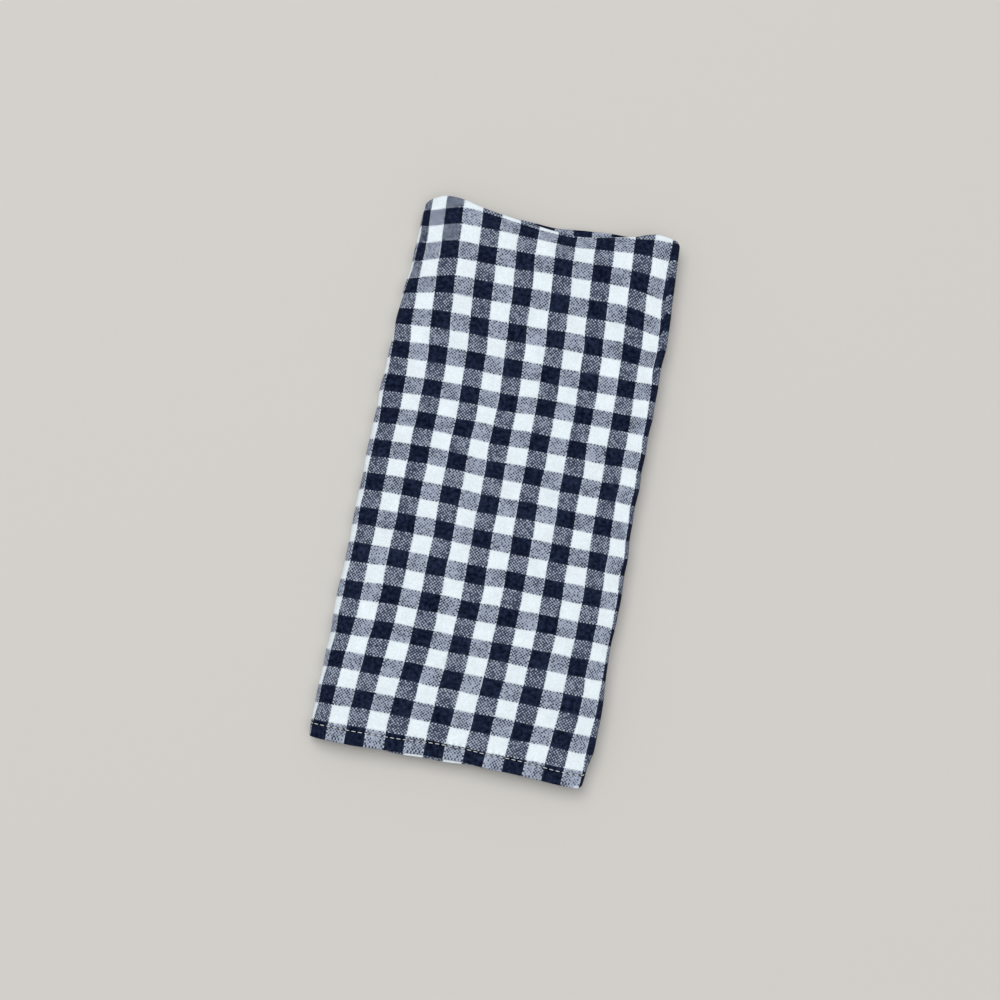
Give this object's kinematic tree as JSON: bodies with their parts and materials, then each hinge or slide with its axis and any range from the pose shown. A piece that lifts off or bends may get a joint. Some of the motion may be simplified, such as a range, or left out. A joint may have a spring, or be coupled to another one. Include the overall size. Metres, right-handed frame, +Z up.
{
  "type": "cloth napkin",
  "caption": "Soft woven gingham cloth napkin, hemmed on every side and folded flat into a long narrow rectangle.",
  "frame": {"origin": "middle of the underside of the folded pile's box, on the surface it rests on", "axes": "+Y from the hems towards the top fold, along the pile; +Z up through the layers; +X across the pile, towards the side where the free edges lie"},
  "size_m": [0.1146, 0.2298, 0.0108],
  "materials": {
    "gingham_cotton": "soft matt plain-woven cotton in a navy and white gingham check"
  },
  "bodies": {
    "root": {"napkin": "gingham_cotton"}
  },
  "joints": []
}
